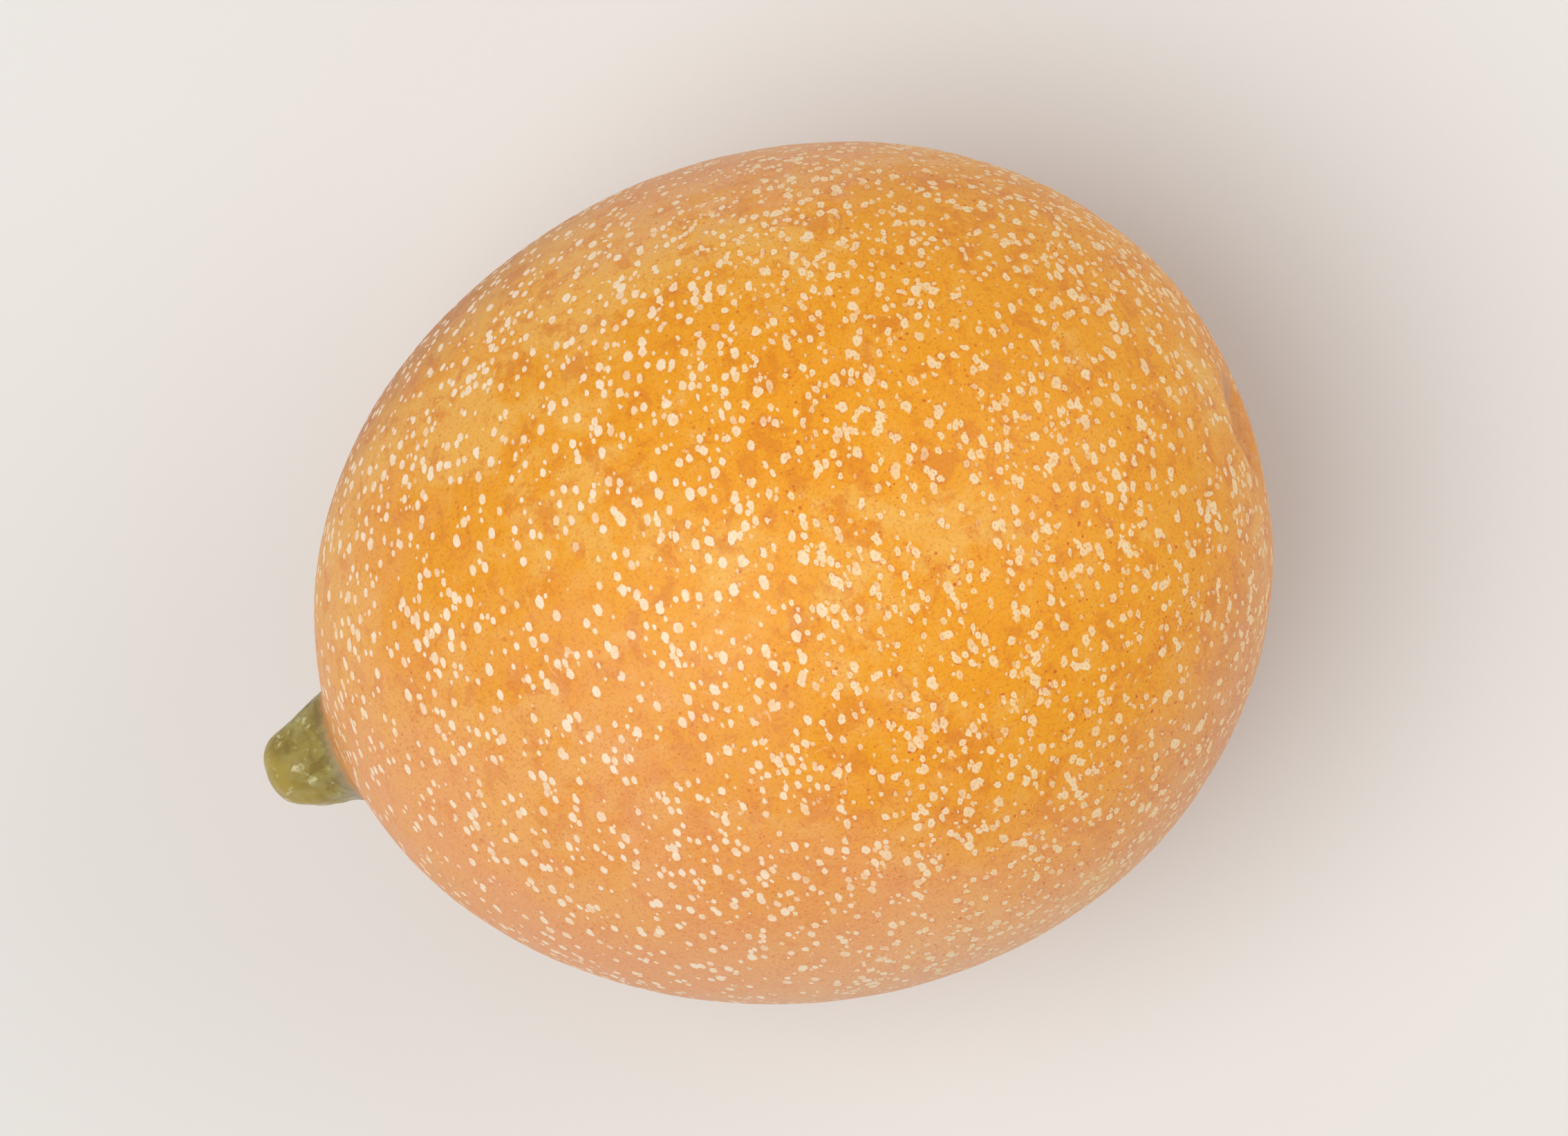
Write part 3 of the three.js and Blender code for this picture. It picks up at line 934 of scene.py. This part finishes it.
def aim(item, right, up, back, place):
    """Puts a camera or light at a place, with its X axis to the right, its Y axis up and its Z axis
    pointing back."""
    turned = Matrix((right, up, back)).transposed().to_4x4()
    item.matrix_world = Matrix.Translation(place) @ turned


def add_camera(middle):
    right, up, back = view_axes()
    data = bpy.data.cameras.new("camera")
    data.lens = LENS
    data.sensor_width = SENSOR_WIDTH
    data.clip_start = 0.01
    camera = bpy.data.objects.new("camera", data)
    bpy.context.scene.collection.objects.link(camera)
    target = middle + right * VIEW_RIGHT + up * VIEW_UP
    aim(camera, right, up, back, target + back * (VIEW_WIDTH * LENS / SENSOR_WIDTH))
    bpy.context.scene.camera = camera


def add_light(name, power, size, place, target, colour):
    data = bpy.data.lights.new(name, "AREA")
    data.shape = "DISK"
    data.size = size
    data.energy = power
    data.color = colour
    light = bpy.data.objects.new(name, data)
    bpy.context.scene.collection.objects.link(light)
    back = (place - target).normalized()
    right = Vector((0, 1, 0)).cross(back).normalized()
    aim(light, right, back.cross(right), back, place)


def make_stage(scene):
    settings = scene.granadilla_stage
    floor = add_object("floor", floor_mesh(settings), floor_material(settings))
    rind = scene.granadilla_rind
    middle = Vector(fruit_middle(rind.length, rind.width))
    add_camera(middle)
    right, up, _ = view_axes()
    for name, power, width, (rightward, upward, over), colour in (
        ("key", settings.key_power, KEY_WIDTH, KEY_PLACE, KEY_COLOUR),
        ("fill", settings.fill_power, FILL_WIDTH, FILL_PLACE, FILL_COLOUR),
    ):
        place = middle + right * rightward + up * upward + Vector((0, 0, over))
        add_light(name, power, width, place, middle, colour)
    world = bpy.data.worlds.new("studio")
    world.use_nodes = True
    background = world.node_tree.nodes["Background"]
    background.inputs["Color"].default_value = (*SKY_COLOUR, 1.0)
    background.inputs["Strength"].default_value = settings.sky
    scene.world = world
    scene.view_settings.view_transform = "Standard"


# ---------------------------------------------------------------- add-on

class GRANADILLA_OT_rind(bpy.types.Operator):
    """Make the granadilla's spotted skin"""

    bl_idname = "granadilla.rind"
    bl_label = "Rind"

    def execute(self, context):
        make_rind(context.scene)
        return {"FINISHED"}


class GRANADILLA_OT_stem(bpy.types.Operator):
    """Make the stub of stem at the end of the fruit"""

    bl_idname = "granadilla.stem"
    bl_label = "Stem"

    def execute(self, context):
        make_stem(context.scene)
        return {"FINISHED"}


class GRANADILLA_OT_stage(bpy.types.Operator):
    """Make the floor, the lights and the camera"""

    bl_idname = "granadilla.stage"
    bl_label = "Stage"

    def execute(self, context):
        make_stage(context.scene)
        return {"FINISHED"}


class GRANADILLA_PT_panel(bpy.types.Panel):
    """The granadilla's settings and buttons"""

    bl_label = "Granadilla"
    bl_space_type = "VIEW_3D"
    bl_region_type = "UI"
    bl_category = "Granadilla"

    def draw(self, context):
        for settings, operator in (
            (context.scene.granadilla_rind, "granadilla.rind"),
            (context.scene.granadilla_stem, "granadilla.stem"),
            (context.scene.granadilla_stage, "granadilla.stage"),
        ):
            box = self.layout.box()
            for name in settings.__annotations__:
                box.prop(settings, name)
            box.operator(operator)


CLASSES = (
    RindSettings,
    StemSettings,
    StageSettings,
    GRANADILLA_OT_rind,
    GRANADILLA_OT_stem,
    GRANADILLA_OT_stage,
    GRANADILLA_PT_panel,
)


def register():
    for item in CLASSES:
        bpy.utils.register_class(item)
    bpy.types.Scene.granadilla_rind = bpy.props.PointerProperty(type=RindSettings)
    bpy.types.Scene.granadilla_stem = bpy.props.PointerProperty(type=StemSettings)
    bpy.types.Scene.granadilla_stage = bpy.props.PointerProperty(type=StageSettings)


def unregister():
    del bpy.types.Scene.granadilla_stage
    del bpy.types.Scene.granadilla_stem
    del bpy.types.Scene.granadilla_rind
    for item in reversed(CLASSES):
        bpy.utils.unregister_class(item)


def main():
    register()
    bpy.ops.granadilla.rind()
    bpy.ops.granadilla.stem()
    bpy.ops.granadilla.stage()


if __name__ == "__main__":
    main()
